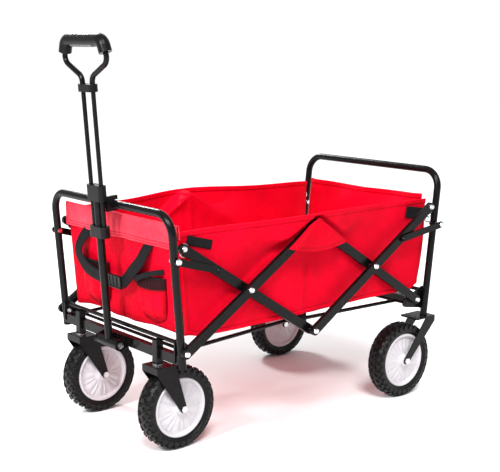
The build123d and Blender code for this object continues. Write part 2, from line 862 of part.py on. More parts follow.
grip_end_y = loop_half_width - grip_start * (loop_half_width - grip_half_flat)
grip_end_up = loop_corner + grip_start * (grip_reach - loop_corner)
with BuildPart() as handle_grip:
    with BuildLine(handle_face) as grip_path:
        FilletPolyline(
            (-grip_end_y, grip_end_up),
            (-grip_half_flat, grip_reach),
            (grip_half_flat, grip_reach),
            (grip_end_y, grip_end_up),
            radius=grip_bend,
        )
    with BuildSketch(Plane(grip_path.line @ 0, z_dir=grip_path.line % 0)):
        Circle(grip_diameter / 2)
    sweep(path=grip_path.line)
    add(handle_loop.part, mode=Mode.SUBTRACT)
    add(grip_insert.part, mode=Mode.SUBTRACT)
save(handle_grip.part, "handle_grip")

ear_y = pivot_sleeve_length / 2 + slide_gap
rail_front = front_x - lower_rail_depth / 2
with BuildPart() as handle_bracket:
    with BuildSketch(side_plane(-ear_y - plate_thickness)):
        with Locations(((rail_front - plate_thickness / 2), lower_rail_z)):
            Rectangle(plate_thickness, lower_rail_height + 2)
    extrude(amount=2 * (ear_y + plate_thickness))
    for y in (ear_y, -ear_y - plate_thickness):
        with BuildSketch(side_plane(y)):
            with Locations((handle_pivot.X, handle_pivot.Z)):
                Circle(handle_ear_height / 2)
            with Locations((rail_front - plate_thickness / 2, lower_rail_z)):
                Rectangle(plate_thickness, lower_rail_height + 2)
            make_hull()
            with Locations((handle_pivot.X, handle_pivot.Z)):
                Circle(axle_diameter / 2, mode=Mode.SUBTRACT)
        extrude(amount=plate_thickness)
save(handle_bracket.part, "handle_bracket")

bolt_reach = ear_y + plate_thickness
with BuildPart() as handle_pivot_bolt:
    with BuildSketch(side_plane(-bolt_reach)):
        with Locations((handle_pivot.X, handle_pivot.Z)):
            Circle(axle_diameter / 2)
    extrude(amount=2 * bolt_reach)
    for start, depth in ((bolt_reach, bolt_head_height), (-bolt_reach, -bolt_head_height)):
        with BuildSketch(side_plane(start)):
            with Locations((handle_pivot.X, handle_pivot.Z)):
                RegularPolygon(axle_diameter * hex_share, 6)
        extrude(amount=depth)
save(handle_pivot_bolt.part, "handle_pivot_bolt")

# ---------------------------------------------------------------- fabric basket
panel_half = basket_width / 2 - cloth - soft_gap
front_cloth = face_of((front_x + panel_setback, 0, pivot_height), front_axis)
rear_cloth = face_of((rear_x - panel_setback, 0, pivot_height), rear_axis)


def up_front(height):
    return (height - pivot_height) / front_axis.Z


def up_rear(height):
    return (height - pivot_height) / rear_axis.Z


def front_cloth_x(height):
    return front_x + panel_setback - front_slope * (height - pivot_height)


def rear_cloth_x(height):
    return rear_x - panel_setback + rear_slope * (height - pivot_height)


with BuildPart() as basket_front_panel:
    with BuildSketch(front_cloth):
        with Locations((0, (up_front(basket_floor_height) + up_front(front_panel_top)) / 2)):
            Rectangle(2 * panel_half, up_front(front_panel_top) - up_front(basket_floor_height))
    extrude(amount=cloth)
save(basket_front_panel.part, "basket_front_panel")

with BuildPart() as basket_rear_panel:
    with BuildSketch(rear_cloth):
        with Locations((0, (up_rear(basket_floor_height) + up_rear(rear_panel_top)) / 2)):
            Rectangle(2 * panel_half, up_rear(rear_panel_top) - up_rear(basket_floor_height))
    extrude(amount=-cloth)
save(basket_rear_panel.part, "basket_rear_panel")

floor_front = front_cloth_x(basket_floor_height) + 2 * cloth
floor_back = rear_cloth_x(basket_floor_height) - 2 * cloth
with BuildPart() as basket_floor:
    with BuildSketch(Plane.XY.offset(basket_floor_height)):
        with Locations(((floor_front + floor_back) / 2, 0)):
            Rectangle(floor_back - floor_front, 2 * panel_half)
    extrude(amount=cloth)
save(basket_floor.part, "basket_floor")


with BuildPart() as basket_side:
    with BuildSketch(side_plane(basket_width / 2 - cloth)):
        with BuildLine():
            Polyline(
                (front_cloth_x(basket_floor_height), basket_floor_height),
                (rear_cloth_x(basket_floor_height), basket_floor_height),
                (rear_cloth_x(basket_side_top), basket_side_top),
                (front_cloth_x(basket_side_top), basket_side_top),
                close=True,
            )
        make_face()
    extrude(amount=cloth)
save(basket_side.part, "basket_side_left")
save(basket_side.part.mirror(Plane.XZ), "basket_side_right")

flap_y = outer_face + bolt_head_height + flap_room
with BuildPart() as side_flaps:
    with BuildSketch(side_plane(flap_y)):
        with BuildLine():
            Polyline(
                (centre_x - flap_half_width, top_joint[1] - flap_shoulder_drop),
                (centre_x - flap_foot_width / 2, top_joint[1] - flap_bottom_drop),
                (centre_x + flap_foot_width / 2, top_joint[1] - flap_bottom_drop),
                (centre_x + flap_half_width, top_joint[1] - flap_shoulder_drop),
                (centre_x + flap_peak_width / 2, top_joint[1] + flap_top_rise),
                (centre_x - flap_peak_width / 2, top_joint[1] + flap_top_rise),
                close=True,
            )
        make_face()
    extrude(amount=cloth)
    mirror(about=Plane.XZ)
save(side_flaps.part, "side_flaps")


def pocket(centre):
    """An open-topped pouch on the front of the basket."""
    middle = (centre, (up_front(pocket_low) + up_front(pocket_low + pocket_height)) / 2)
    with BuildPart() as pouch:
        with BuildSketch(front_cloth.offset(-soft_gap)):
            with Locations(middle):
                Rectangle(pocket_width, pocket_height)
        extrude(amount=-pocket_depth)
        with BuildSketch(front_cloth.offset(-soft_gap - cloth)):
            with Locations((middle[0], middle[1] + cloth)):
                Rectangle(pocket_width - 2 * cloth, pocket_height)
        extrude(amount=-(pocket_depth - 2 * cloth), mode=Mode.SUBTRACT)
    return pouch.part


save(pocket(-pocket_centre), "pocket_left")
save(pocket(pocket_centre), "pocket_right")

strap_plane = front_cloth.offset(-pocket_depth - 2 * soft_gap)
with BuildPart() as strap_buckle:
    with BuildSketch(strap_plane):
        with Locations((0, up_front(pivot_height + strap_low_rise))):
            RectangleRounded(buckle_length, buckle_height, buckle_thickness / 2)
    extrude(amount=-buckle_thickness)
save(strap_buckle.part, "strap_buckle")

with BuildPart() as pocket_straps:
    with BuildSketch(strap_plane):
        with BuildLine():
            Polyline(
                (-strap_half_top, up_front(pivot_height + strap_top_rise)),
                (-strap_half_knee, up_front(pivot_height + strap_knee_rise)),
                (-strap_half_low, up_front(pivot_height + strap_low_rise)),
                (strap_half_low, up_front(pivot_height + strap_low_rise)),
                (strap_half_knee, up_front(pivot_height + strap_knee_rise)),
                (strap_half_top, up_front(pivot_height + strap_top_rise)),
            )
            offset(amount=webbing_width / 2, side=Side.BOTH)
        make_face()
    extrude(amount=-webbing_thickness)
    add(strap_buckle.part, mode=Mode.SUBTRACT)
save(pocket_straps.part, "pocket_straps")
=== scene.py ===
import json
import math

import bmesh
import bpy
from mathutils import Matrix, Vector, noise


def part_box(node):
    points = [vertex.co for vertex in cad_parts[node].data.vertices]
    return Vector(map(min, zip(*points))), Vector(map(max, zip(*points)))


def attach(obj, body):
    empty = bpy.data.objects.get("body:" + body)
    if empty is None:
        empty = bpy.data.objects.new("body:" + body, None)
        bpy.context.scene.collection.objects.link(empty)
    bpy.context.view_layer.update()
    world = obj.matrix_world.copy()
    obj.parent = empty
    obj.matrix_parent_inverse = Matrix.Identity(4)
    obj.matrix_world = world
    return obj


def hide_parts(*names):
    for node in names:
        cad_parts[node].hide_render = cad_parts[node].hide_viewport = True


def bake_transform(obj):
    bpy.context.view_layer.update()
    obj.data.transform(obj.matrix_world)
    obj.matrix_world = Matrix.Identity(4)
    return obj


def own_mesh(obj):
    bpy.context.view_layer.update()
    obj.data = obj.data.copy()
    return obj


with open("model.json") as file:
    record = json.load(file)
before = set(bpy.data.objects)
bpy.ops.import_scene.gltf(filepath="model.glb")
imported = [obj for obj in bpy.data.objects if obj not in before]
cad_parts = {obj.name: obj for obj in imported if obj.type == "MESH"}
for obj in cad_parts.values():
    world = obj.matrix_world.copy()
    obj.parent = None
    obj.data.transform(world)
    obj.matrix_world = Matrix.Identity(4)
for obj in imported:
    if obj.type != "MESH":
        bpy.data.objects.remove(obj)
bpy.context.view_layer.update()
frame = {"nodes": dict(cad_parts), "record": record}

nodes = frame["nodes"]
print("wagon: frame loaded,", len(nodes), "nodes")

# camera first, at a low three-quarter view from the handle end
cameraView = {
    "azimuth": -38.841,
    "elevation": 9.941,
    "roll": 0.096,
    "distance": 2.573,
    "target": (-0.0990, 0.0, 0.4560),
    "lens": 76.25,
    "shift": (0.0761, -0.0191),
}


def makeCamera():
    turn, rise = math.radians(cameraView["azimuth"]), math.radians(cameraView["elevation"])
    back = Vector((math.sin(turn) * math.cos(rise), -math.cos(turn) * math.cos(rise), math.sin(rise)))
    right = Vector((math.cos(turn), math.sin(turn), 0))
    up = back.cross(right)
    roll = math.radians(cameraView["roll"])
    across = right * math.cos(roll) + up * math.sin(roll)
    above = up * math.cos(roll) - right * math.sin(roll)
    data = bpy.data.cameras.new("mainCamera")
    data.lens = cameraView["lens"]
    data.sensor_width = 36.0
    data.shift_x, data.shift_y = cameraView["shift"]
    data.clip_end = 50.0
    camera = bpy.data.objects.new("mainCamera", data)
    bpy.context.scene.collection.objects.link(camera)
    place = Matrix((across, above, back)).transposed().to_4x4()
    place.translation = Vector(cameraView["target"]) + back * cameraView["distance"]
    camera.matrix_world = place
    bpy.context.scene.camera = camera


makeCamera()
bpy.context.scene.view_settings.view_transform = "Standard"
print("wagon: camera placed")


# ---- small helpers for shader node trees
def newMaterial(name, roughness, metallic=0.0):
    material = bpy.data.materials.new(name)
    material.use_nodes = True
    tree = material.node_tree
    shader = tree.nodes["Principled BSDF"]
    shader.inputs["Roughness"].default_value = roughness
    shader.inputs["Metallic"].default_value = metallic
    return material, tree, shader


def addNode(tree, kind, **settings):
    node = tree.nodes.new(kind)
    for key, value in settings.items():
        setattr(node, key, value)
    return node


def setInputs(node, **values):
    for key, value in values.items():
        node.inputs[key.replace("_", " ")].default_value = value
    return node


def calc(tree, operation, first, second=None, third=None):
    node = addNode(tree, "ShaderNodeMath", operation=operation)
    for socket, value in zip(node.inputs, (first, second, third)):
        if value is None:
            continue
        if isinstance(value, (int, float)):
            socket.default_value = value
        else:
            tree.links.new(value, socket)
    return node.outputs[0]


def blendColour(tree, factor, first, second, mode="MIX"):
    node = addNode(tree, "ShaderNodeMix", data_type="RGBA", blend_type=mode)
    for socket, value in ((node.inputs[0], factor), (node.inputs[6], first), (node.inputs[7], second)):
        if isinstance(value, bpy.types.NodeSocket):
            tree.links.new(value, socket)
        else:
            socket.default_value = value
    return node.outputs[2]


def spread(tree, value, low, high, newLow, newHigh):
    node = addNode(tree, "ShaderNodeMapRange", clamp=True)
    tree.links.new(value, node.inputs["Value"])
    setInputs(node, From_Min=low, From_Max=high, To_Min=newLow, To_Max=newHigh)
    return node.outputs["Result"]


def newGroup(name, inputs, outputs):
    group = bpy.data.node_groups.new(name, "ShaderNodeTree")
    for socketName, kind, value in inputs:
        socket = group.interface.new_socket(name=socketName, in_out="INPUT", socket_type=kind)
        if value is not None:
            socket.default_value = value
    for socketName, kind in outputs:
        group.interface.new_socket(name=socketName, in_out="OUTPUT", socket_type=kind)
    return group, group.nodes.new("NodeGroupInput"), group.nodes.new("NodeGroupOutput")


def useGroup(tree, group, **values):
    node = addNode(tree, "ShaderNodeGroup", node_tree=group)
    for key, value in values.items():
        socket = node.inputs[key.replace("_", " ")]
        if isinstance(value, bpy.types.NodeSocket):
            tree.links.new(value, socket)
        else:
            socket.default_value = value
    return node


# ---- shared shader groups
def makeWeaveGroup():  # plain weave in a map measured in metres
    group, start, end = newGroup(
        "plainWeave",
        [("Vector", "NodeSocketVector", None), ("Threads", "NodeSocketFloat", 300.0)],
        [("Height", "NodeSocketFloat"), ("Shade", "NodeSocketFloat")],
    )
    split = addNode(group, "ShaderNodeSeparateXYZ")
    group.links.new(start.outputs["Vector"], split.inputs[0])
    warp = calc(group, "SINE", calc(group, "MULTIPLY", split.outputs[0], start.outputs["Threads"]))
    weft = calc(group, "SINE", calc(group, "MULTIPLY", split.outputs[1], start.outputs["Threads"]))
    over = calc(group, "MULTIPLY", warp, weft)
    height = spread(group, over, -1.0, 1.0, 0.0, 1.0)
    slub = setInputs(addNode(group, "ShaderNodeTexNoise"), Scale=90.0, Detail=2.0)
    group.links.new(start.outputs["Vector"], slub.inputs["Vector"])
    # Shade is partly painted shade, darker where the weave sinks, and partly random slub
    fromWeave = calc(group, "MULTIPLY", height, 0.35)
    fromSlub = calc(group, "MULTIPLY", slub.outputs[0], 0.65)
    shade = calc(group, "ADD", fromWeave, fromSlub)
    group.links.new(height, end.inputs["Height"])
    group.links.new(shade, end.inputs["Shade"])
    return group


def makeStitchGroup():  # one row of stitches at a set distance from an edge
    group, start, end = newGroup(
        "stitchRow",
        [
            ("Vector", "NodeSocketVector", None),
            ("Offset", "NodeSocketFloat", 0.008),
            ("Pitch", "NodeSocketFloat", 0.0045),
        ],
        [("Thread", "NodeSocketFloat"), ("Groove", "NodeSocketFloat")],
    )
    split = addNode(group, "ShaderNodeSeparateXYZ")
    group.links.new(start.outputs["Vector"], split.inputs[0])
    away = calc(group, "ABSOLUTE", calc(group, "SUBTRACT", split.outputs[1], start.outputs["Offset"]))
    line = spread(group, away, 0.0003, 0.0007, 1.0, 0.0)
    step = calc(group, "FRACT", calc(group, "DIVIDE", split.outputs[0], start.outputs["Pitch"]))
    dash = calc(group, "LESS_THAN", step, 0.68)
    group.links.new(calc(group, "MULTIPLY", line, dash), end.inputs["Thread"])
    group.links.new(spread(group, away, 0.0005, 0.0022, 1.0, 0.0), end.inputs["Groove"])
    return group


def makeWearGroup():  # rubbed edges and a broken-up surface, in object space
    group, start, end = newGroup(
        "edgeWear",
        [("Amount", "NodeSocketFloat", 0.5), ("Scale", "NodeSocketFloat", 60.0)],
        [("Wear", "NodeSocketFloat"), ("Mottle", "NodeSocketFloat"), ("Grain", "NodeSocketFloat")],
    )
    place = addNode(group, "ShaderNodeTexCoord")
    shape = addNode(group, "ShaderNodeNewGeometry")
    patch = setInputs(addNode(group, "ShaderNodeTexNoise"), Detail=5.0, Roughness=0.65)
    fine = setInputs(addNode(group, "ShaderNodeTexNoise"), Scale=1400.0, Detail=2.0)
    group.links.new(place.outputs["Object"], patch.inputs["Vector"])
    group.links.new(start.outputs["Scale"], patch.inputs["Scale"])
    group.links.new(place.outputs["Object"], fine.inputs["Vector"])
    edge = spread(group, shape.outputs["Pointiness"], 0.54, 0.66, 0.0, 1.0)
    broken = spread(group, patch.outputs[0], 0.42, 0.62, 0.0, 1.0)
    wear = calc(group, "MULTIPLY", calc(group, "MULTIPLY", edge, broken), start.outputs["Amount"])
    group.links.new(wear, end.inputs["Wear"])
    group.links.new(patch.outputs[0], end.inputs["Mottle"])
    group.links.new(fine.outputs[0], end.inputs["Grain"])
    return group


weaveGroup = makeWeaveGroup()
stitchGroup = makeStitchGroup()
wearGroup = makeWearGroup()

# ---- finishes
clothLook = {
    "red": (0.80, 0.0008, 0.021, 1.0),
    "deepRed": (0.50, 0.0003, 0.010, 1.0),
    # the cuff's bright and dark reds are painted lighter and pinker than the panel's: painted highlight
    "cuffHighlightRed": (0.92, 0.075, 0.115, 1.0),
    "cuffShade": (0.62, 0.012, 0.032, 1.0),
    "thread": (0.62, 0.010, 0.022, 1.0),
    # painted shadow colour for the pocket cloth's edges
    "edgeShadowRed": (0.20, 0.0, 0.004, 1.0),
    "webbing": (0.004, 0.0035, 0.004, 1.0),
}


def clothMaterial(name, bright, dark, rows, threads=2600.0, roughness=0.62, crease=0.8, rim=0.0):
    material, tree, shader = newMaterial(name, roughness)
    shader.inputs["Specular IOR Level"].default_value = 0.04
    cloth = addNode(tree, "ShaderNodeUVMap", uv_map="clothMap")
    seam = addNode(tree, "ShaderNodeUVMap", uv_map="seamMap")
    weave = useGroup(tree, weaveGroup, Vector=cloth.outputs[0], Threads=threads)
    place = addNode(tree, "ShaderNodeTexCoord")
    broad = setInputs(addNode(tree, "ShaderNodeTexNoise"), Scale=9.0, Detail=3.0, Roughness=0.55)
    folds = addNode(tree, "ShaderNodeTexNoise")
    setInputs(folds, Scale=34.0, Detail=4.0, Roughness=0.6, Distortion=0.6)
    tree.links.new(place.outputs["Object"], broad.inputs["Vector"])
    tree.links.new(place.outputs["Object"], folds.inputs["Vector"])
    # tone mixes the weave's painted shade with random broad tone variation
    tone = calc(tree, "ADD", calc(tree, "MULTIPLY", weave.outputs["Shade"], 0.35),
                spread(tree, broad.outputs[0], 0.3, 0.7, 0.0, 0.65))
    colour = blendColour(tree, tone, bright, dark)
    if rim:  # painted shade, darker towards the edges where the piece is sewn down
        edge = addNode(tree, "ShaderNodeSeparateXYZ")
        tree.links.new(seam.outputs[0], edge.inputs[0])
        edgeShadow = spread(tree, edge.outputs[1], 0.0, rim, 0.85, 0.0)
        colour = blendColour(tree, edgeShadow, colour, clothLook["edgeShadowRed"])
    height = calc(tree, "ADD", calc(tree, "MULTIPLY", weave.outputs["Height"], 0.00022),
                  calc(tree, "MULTIPLY", folds.outputs[0], 0.0024 * crease))
    for offset in rows:
        row = useGroup(tree, stitchGroup, Vector=seam.outputs[0], Offset=offset)
        # painted shade: the cloth colour is darkened in each stitch groove
        grooveShade = calc(tree, "MULTIPLY", row.outputs["Groove"], 0.42)
        colour = blendColour(tree, grooveShade, colour, dark, "MULTIPLY")
        colour = blendColour(tree, row.outputs["Thread"], colour, clothLook["thread"])
        sunk = calc(tree, "MULTIPLY", row.outputs["Groove"], -0.0009)
        raised = calc(tree, "MULTIPLY", row.outputs["Thread"], 0.0006)
        height = calc(tree, "ADD", height, calc(tree, "ADD", sunk, raised))
    bump = setInputs(addNode(tree, "ShaderNodeBump"), Strength=0.85, Distance=1.0)
    tree.links.new(height, bump.inputs["Height"])
    tree.links.new(bump.outputs[0], shader.inputs["Normal"])
    tree.links.new(colour, shader.inputs["Base Color"])
    tree.links.new(spread(tree, weave.outputs["Shade"], 0.2, 0.8, roughness - 0.08, roughness + 0.1),
                   shader.inputs["Roughness"])
    return material


def paintMaterial(name, colour, worn, roughness, metallic, amount, scale=60.0, grain=0.00006, specular=0.5):
    material, tree, shader = newMaterial(name, roughness, metallic)
    shader.inputs["Specular IOR Level"].default_value = specular
    wear = useGroup(tree, wearGroup, Amount=amount, Scale=scale)
    shade = tuple(c * 0.80 for c in colour[:3]) + (1.0,)
    base = blendColour(tree, wear.outputs["Mottle"], colour, shade)
    tree.links.new(blendColour(tree, wear.outputs["Wear"], base, worn), shader.inputs["Base Color"])
    rough = spread(tree, wear.outputs["Mottle"], 0.3, 0.7, roughness - 0.06, roughness + 0.1)
    tree.links.new(rough, shader.inputs["Roughness"])
    bump = setInputs(addNode(tree, "ShaderNodeBump"), Strength=0.7, Distance=1.0)
    tree.links.new(calc(tree, "MULTIPLY", wear.outputs["Grain"], grain), bump.inputs["Height"])
    tree.links.new(bump.outputs[0], shader.inputs["Normal"])
    return material


def knurledMaterial(name):  # crossed ridges pressed into a soft grip
    material, tree, shader = newMaterial(name, 0.55)
    place = addNode(tree, "ShaderNodeTexCoord")
    split = addNode(tree, "ShaderNodeSeparateXYZ")
    tree.links.new(place.outputs["Object"], split.inputs[0])
    ridges = []
    for sign in (1, -1):
        slant = calc(tree, "ADD", split.outputs[1], calc(tree, "MULTIPLY", split.outputs[2], sign))
        ridges.append(calc(tree, "ABSOLUTE", calc(tree, "SINE", calc(tree, "MULTIPLY", slant, 900.0))))
    height = calc(tree, "MINIMUM", ridges[0], ridges[1])
    wear = useGroup(tree, wearGroup, Amount=0.3, Scale=80.0)
    # the knurl valleys are painted dark as painted shade in the grooves; the ridges take the insert's grey,
    # with random mottle
    tone = calc(tree, "MULTIPLY", calc(tree, "ADD", height, wear.outputs["Mottle"]), 0.5)
    tree.links.new(blendColour(tree, tone, (0.05, 0.05, 0.055, 1.0), (0.27, 0.27, 0.29, 1.0)),
                   shader.inputs["Base Color"])
    tree.links.new(spread(tree, height, 0.0, 1.0, 0.75, 0.45), shader.inputs["Roughness"])
    bump = setInputs(addNode(tree, "ShaderNodeBump"), Strength=0.9, Distance=1.0)
    tree.links.new(calc(tree, "MULTIPLY", height, 0.0009), bump.inputs["Height"])
    tree.links.new(bump.outputs[0], shader.inputs["Normal"])
    return material


def webbingMaterial(name):  # ribbed black tape
    material, tree, shader = newMaterial(name, 0.6)
    shader.inputs["Specular IOR Level"].default_value = 0.08
    cloth = addNode(tree, "ShaderNodeUVMap", uv_map="clothMap")
    weave = useGroup(tree, weaveGroup, Vector=cloth.outputs[0], Threads=1900.0)
    light = (0.014, 0.013, 0.015, 1.0)
    # the weave's painted shade and slub set the tape's colour
    colour = blendColour(tree, weave.outputs["Shade"], clothLook["webbing"], light)
    tree.links.new(colour, shader.inputs["Base Color"])
    tree.links.new(spread(tree, weave.outputs["Height"], 0.0, 1.0, 0.5, 0.72), shader.inputs["Roughness"])
    bump = setInputs(addNode(tree, "ShaderNodeBump"), Strength=0.9, Distance=1.0)
    tree.links.new(calc(tree, "MULTIPLY", weave.outputs["Height"], 0.0006), bump.inputs["Height"])
    tree.links.new(bump.outputs[0], shader.inputs["Normal"])
    return material


def netMaterial(name):  # dark open net, with the red pouch glimpsed through it painted dim as painted shade inside the pocket
    material, tree, shader = newMaterial(name, 0.7)
    shader.inputs["Specular IOR Level"].default_value = 0.08
    cloth = addNode(tree, "ShaderNodeUVMap", uv_map="clothMap")
    weave = useGroup(tree, weaveGroup, Vector=cloth.outputs[0], Threads=1250.0)
    hole = spread(tree, weave.outputs["Height"], 0.62, 0.86, 0.0, 1.0)
    tree.links.new(blendColour(tree, hole, (0.006, 0.004, 0.005, 1.0), (0.10, 0.001, 0.005, 1.0)),
                   shader.inputs["Base Color"])
    tree.links.new(spread(tree, hole, 0.0, 1.0, 0.55, 0.9), shader.inputs["Roughness"])
    bump = setInputs(addNode(tree, "ShaderNodeBump"), Strength=0.9, Distance=1.0)
    tree.links.new(calc(tree, "MULTIPLY", hole, -0.0008), bump.inputs["Height"])
    tree.links.new(bump.outputs[0], shader.inputs["Normal"])
    return material


finishes = {
    "panelCloth": clothMaterial("panelCloth", clothLook["red"], clothLook["deepRed"], (0.006, 0.010)),
    # cuffCloth uses the lightened cuff reds, a painted highlight
    "cuffCloth": clothMaterial("cuffCloth", clothLook["cuffHighlightRed"], clothLook["cuffShade"], (0.005, 0.011),
                               crease=1.0),
    # pocketCloth carries painted shade along its edges, rim sets its width
    "pocketCloth": clothMaterial("pocketCloth", clothLook["red"], clothLook["deepRed"], (0.004,), crease=1.8,
                                 rim=0.020),
    "blackWebbing": webbingMaterial("blackWebbing"),
    "pocketNet": netMaterial("pocketNet"),
    "powderCoat": paintMaterial("powderCoat", (0.0034, 0.0028, 0.0032, 1), (0.05, 0.046, 0.046, 1),
                                0.22, 0.0, 0.08, specular=0.15),
    "zincPlate": paintMaterial("zincPlate", (0.78, 0.78, 0.80, 1), (0.95, 0.95, 0.97, 1),
                               0.24, 1.0, 0.5, 140.0),
    "blackPlastic": paintMaterial("blackPlastic", (0.0042, 0.0038, 0.0042, 1), (0.04, 0.04, 0.04, 1),
                                  0.30, 0.0, 0.12, 90.0, 0.0001, 0.15),
    "gripInsert": knurledMaterial("gripInsert"),
    "hubPlastic": paintMaterial("hubPlastic", (0.60, 0.575, 0.605, 1), (0.74, 0.73, 0.74, 1), 0.34, 0.0, 0.4,
                                70.0, 0.00005),
    "tyreRubber": paintMaterial("tyreRubber", (0.0036, 0.0034, 0.0036, 1), (0.020, 0.019, 0.019, 1),
                                0.36, 0.0, 0.5, 160.0, 0.0002, 0.18),
}
finishOfSlot = {
    "black_coat": "powderCoat",
    "zinc": "zincPlate",
    "red_cloth": "panelCloth",
    "black_webbing": "blackWebbing",
    "black_plastic": "blackPlastic",
    "grey_grip": "gripInsert",
    "hub_white": "hubPlastic",
    "tyre": "tyreRubber",
}
slotOfNode = {part["node"]: part["material_slot"] for part in frame["record"]["subparts"]}
for nodeName, node in nodes.items():
    node.data.materials.clear()
    node.data.materials.append(finishes[finishOfSlot[slotOfNode[nodeName]]])
print("wagon: finishes made,", len(finishes))


# ---- mesh helpers
def finishPiece(name, bm, finish, body, smoothAngle=40.0, thickness=0.0):
    mesh = bpy.data.meshes.new(name)
    bm.to_mesh(mesh)
    bm.free()
    piece = bpy.data.objects.new(name, mesh)
    bpy.context.scene.collection.objects.link(piece)
    mesh.materials.append(finishes[finish])
    mesh.set_sharp_from_angle(angle=math.radians(smoothAngle))
    if thickness:
        wall = piece.modifiers.new("wall", "SOLIDIFY")
        wall.thickness = thickness
        wall.offset = 0.0
    if body:
        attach(piece, body)
    return piece


def gridSheet(name, columns, rows, flat, place, finish="panelCloth",
              body="front_frame", thickness=0.0013):
    bm = bmesh.new()
    bmesh.ops.create_grid(bm, x_segments=columns, y_segments=rows, size=0.5)
    clothMap = bm.loops.layers.uv.new("clothMap")
    seamMap = bm.loops.layers.uv.new("seamMap")
    for face in bm.faces:
        face.smooth = True
        for loop in face.loops:
            across, up = loop.vert.co.x + 0.5, loop.vert.co.y + 0.5
            toSide = min(across, 1 - across) * flat[0]
            toEnd = min(up, 1 - up) * flat[1]
            loop[clothMap].uv = (across * flat[0], up * flat[1])
            if toSide < toEnd:
                loop[seamMap].uv = (up * flat[1], toSide)
            else:
                loop[seamMap].uv = (across * flat[0], toEnd)
    for vert in bm.verts:
        vert.co = place(vert.co.x + 0.5, vert.co.y + 0.5)
    return finishPiece(name, bm, finish, body, 60.0, thickness)


def bump(value, centre, width):  # a smooth hill, 1 at its centre
    return math.exp(-((value - centre) / width) ** 2)


def ease(value, low, high):
    t = min(max((value - low) / (high - low), 0.0), 1.0)
    return t * t * (3 - 2 * t)


def softFold(a, b, seed, broad=0.0055, fine=0.0018):  # how far slack cloth stands off its plane
    return (
        broad * noise.noise(Vector((a * 7.0, b * 6.0, seed)))
        + fine * noise.noise(Vector((a * 24.0, b * 16.0, seed + 7.0)))
    )


# ---- where the basket hangs, read from the frame
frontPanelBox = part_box("basket_front_panel")
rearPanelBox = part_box("basket_rear_panel")
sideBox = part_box("basket_side_left")
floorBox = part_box("basket_floor")
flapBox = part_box("side_flaps")
basket = {
    "frontLean": math.tan(math.radians(5.0)),
    "rearLean": math.tan(math.radians(6.5)),
    "floorZ": floorBox[0].z,
    "sideTop": sideBox[1].z,
    "sideY": (abs(sideBox[0].y) + abs(sideBox[1].y)) / 2,
    "frontTop": frontPanelBox[1].z,
    "rearTop": rearPanelBox[1].z,
    "middleX": (flapBox[0].x + flapBox[1].x) / 2,
    "flapY": flapBox[1].y,
    "frontHalf": 0.2165,
    "rearHalf": 0.2035,
}


def frontX(z):  # the middle of the front panel's thickness
    return frontPanelBox[1].x - 0.001 - basket["frontLean"] * (z - basket["floorZ"])


def rearX(z):
    return rearPanelBox[0].x + 0.007 + basket["rearLean"] * (z - basket["floorZ"])


scissor = {"open": math.radians(32.5), "folded": math.radians(77.0)}

# ---- sides: cut straight, lifted over the top joint of the scissor, with a crease where they fold
sideCloth = {
    "columns": 190,
    "rows": 62,
    "overJoint": 0.0415,
    "jointSpread": 0.170,
    "barTop": 0.5015,
    "barSlope": math.tan(scissor["open"]),
    "topSag": 0.004,
    "endDrop": 0.010,
    "cornerLift": 0.014,
    "frontLift": 0.006,
    "hem": {"height": 0.013, "thickness": 0.0032},
    "foot": {"height": 0.010, "thickness": 0.0030},
}


def sideShape(sign):
    def place(across, up):
        low = basket["floorZ"] - 0.001
        low += sideCloth["cornerLift"] * ease(across, 0.955, 1.0) ** 1.4
        low += sideCloth["frontLift"] * (1 - ease(across, 0.0, 0.05))
        low -= 0.003 * math.sin(across * math.pi * 2.0)
        high = basket["sideTop"] - sideCloth["endDrop"] * (2 * across - 1) ** 2
        high -= sideCloth["topSag"] * math.sin(math.tau * across) ** 2
        z = low + (high - low) * up
        x = (frontX(z) + 0.004) * (1 - across) + (rearX(z) - 0.003) * across
        x += 0.008 * across ** 6 * math.sin(math.pi * min(max((z - low) / 0.20, 0.0), 1.0))
        fromMiddle = abs(x - basket["middleX"])
        overBar = sideCloth["barTop"] - max(fromMiddle - 0.008, 0.0) * sideCloth["barSlope"]
        lift = sideCloth["overJoint"] * bump(fromMiddle, 0.0, sideCloth["jointSpread"])
        climb = 0.010 + 0.92 * max(high - overBar - 0.010, 0.0) * ease(fromMiddle, 0.070, 0.170)
        out = lift * ease(z, overBar - 0.003, overBar - 0.003 + climb)
        away = ease(across, 0.0, 0.03) * (1 - ease(across, 0.97, 1.0)) * (1 - 0.75 * up ** 3)
        crease = x - basket["middleX"] + 0.008
        out += away * (softFold(x, z, 3.0 + 5.0 * sign) - 0.0028 * bump(crease, 0.007, 0.009)
                       + 0.0020 * bump(crease, -0.010, 0.010)) * (1 - ease(z, overBar - 0.02, overBar))
        below = 1 - ease(z, overBar - 0.02, overBar)
        ridge = Vector((x * 5.0 + z * 4.0, z * 7.0, sign))
        out += below * 0.0022 * noise.ridged_multi_fractal(ridge, 1.0, 2.0, 3, 0.9, 2.0)
        belly = math.sin(math.pi * across) ** 0.7 * math.sin(math.pi * min(up * 1.15, 1.0)) * 0.0035
        drawn = 0.0035 * math.sin((x * 0.8 + z) * 46.0) * bump(up, 0.95, 0.30) * bump(across, 0.62, 0.07)
        drawn += 0.0030 * math.sin((x * 0.7 - z) * 50.0) * bump(up, 0.95, 0.30) * bump(across, 0.40, 0.07)
        out += (belly + drawn) * below
        return Vector((x, sign * (basket["sideY"] + min(out, sideCloth["overJoint"])), z))
    return place


